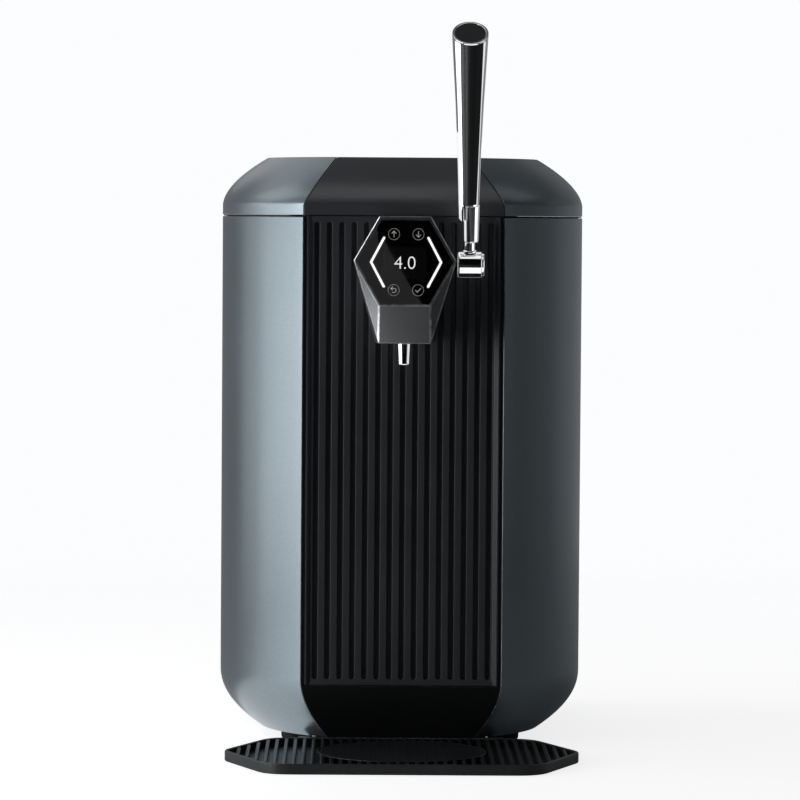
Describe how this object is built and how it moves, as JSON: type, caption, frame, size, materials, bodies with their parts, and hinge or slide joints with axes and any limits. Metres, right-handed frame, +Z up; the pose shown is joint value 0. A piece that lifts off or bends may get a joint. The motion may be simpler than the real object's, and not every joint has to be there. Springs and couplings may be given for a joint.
{
  "type": "capsule beer machine",
  "caption": "Counter-top keg beer machine with a lever tap, a six-sided touch head, a hinged lid over the cooled keg chamber and a sliding drip tray with a lift-out grid.",
  "frame": {"origin": "on the counter, under the middle of the machine's bounding box, tray and hinges included", "axes": "+Z up, -Y towards the person at the tap, +X to that person's right"},
  "size_m": [0.325, 0.5684, 0.6345],
  "materials": {
    "paint": "satin metallic blue-grey paint on a moulded shell",
    "black_moulding": "fine-grained black moulding",
    "gloss_black": "polished black",
    "chrome": "polished chrome plate",
    "stainless": "brushed stainless steel",
    "aluminium": "satin aluminium",
    "brass": "machined brass",
    "rubber": "matt black rubber",
    "foam": "cream foam with a rough skin",
    "inner_moulding": "dark grey moulding",
    "light_pipe": "white light guide",
    "circuit": "green circuit board",
    "black_metal": "black enamel",
    "tube": "milky beer tube",
    "keg_steel": "brushed stainless steel to look at"
  },
  "bodies": {
    "root": {"side_shell_right": "paint", "side_shell_left": "paint", "front_panel": "black_moulding", "front_plinth": "black_moulding", "rear_panel": "black_moulding", "base_plate": "inner_moulding", "foot_front_left": "rubber", "foot_front_right": "rubber", "foot_rear_left": "rubber", "foot_rear_right": "rubber", "insulation_jacket": "foam", "chamber_liner": "aluminium", "top_deck": "inner_moulding", "chamber_gasket": "rubber", "mini_keg": "keg_steel", "keg_coupler": "inner_moulding", "gas_regulator": "brass", "gas_cartridge": "stainless", "beer_line": "tube", "compressor": "black_metal", "fan_shroud": "inner_moulding", "condenser": "aluminium", "refrigerant_line": "brass", "power_supply": "aluminium", "power_inlet": "inner_moulding", "head_housing": "black_moulding", "head_glass": "gloss_black", "light_guide_right": "light_pipe", "light_guide_left": "light_pipe", "display_board": "circuit", "nozzle": "chrome", "valve_body": "brass", "hinge_body_leaf_left": "stainless", "hinge_pin_left": "stainless", "hinge_body_leaf_right": "stainless", "hinge_pin_right": "stainless"},
    "lid": {"lid_side_right": "paint", "lid_side_left": "paint", "lid_band": "black_moulding", "lid_liner": "inner_moulding", "hinge_lid_leaf_left": "stainless", "hinge_lid_leaf_right": "stainless"},
    "lever": {"lever_shaft": "stainless", "lever_barrel": "chrome", "lever_end_cap": "chrome", "lever_neck": "chrome", "lever_ferrule": "chrome", "handle_body": "chrome", "handle_insert": "black_moulding", "handle_ring": "chrome", "handle_disc": "gloss_black"},
    "plunger": {"valve_plunger": "stainless"},
    "fan": {"fan_rotor": "black_moulding"},
    "tray": {"tray_pan": "black_moulding"},
    "grid": {"drip_grid": "black_metal"}
  },
  "joints": [
    {"name": "lid_hinge", "type": "hinge", "parent": "root", "child": "lid", "pos_m": [0, 0.28015, 0.4675], "axis": [-1, 0, 0], "range_deg": [0, 100]},
    {"name": "tap_lever", "type": "hinge", "parent": "root", "child": "lever", "pos_m": [0.0565, -0.14115, 0.4255], "axis": [1, 0, 0], "range_deg": [0, 35]},
    {"name": "plunger_slide", "type": "slide", "parent": "root", "child": "plunger", "axis": [0, 0, -1], "range_m": [0, 0.011]},
    {"name": "fan_spin", "type": "hinge", "parent": "root", "child": "fan", "pos_m": [0, 0.25585, 0.3], "axis": [0, 1, 0], "continuous": true},
    {"name": "tray_slide", "type": "slide", "parent": "root", "child": "tray", "axis": [0, -1, 0], "range_m": [0, 0.12]},
    {"name": "grid_lift", "type": "slide", "parent": "tray", "child": "grid", "axis": [0, 0, 1], "range_m": [0, 0.04]}
  ],
  "couplings": [
    {"joint": "plunger_slide", "follows": "tap_lever", "m_per_rad": 0.018}
  ]
}
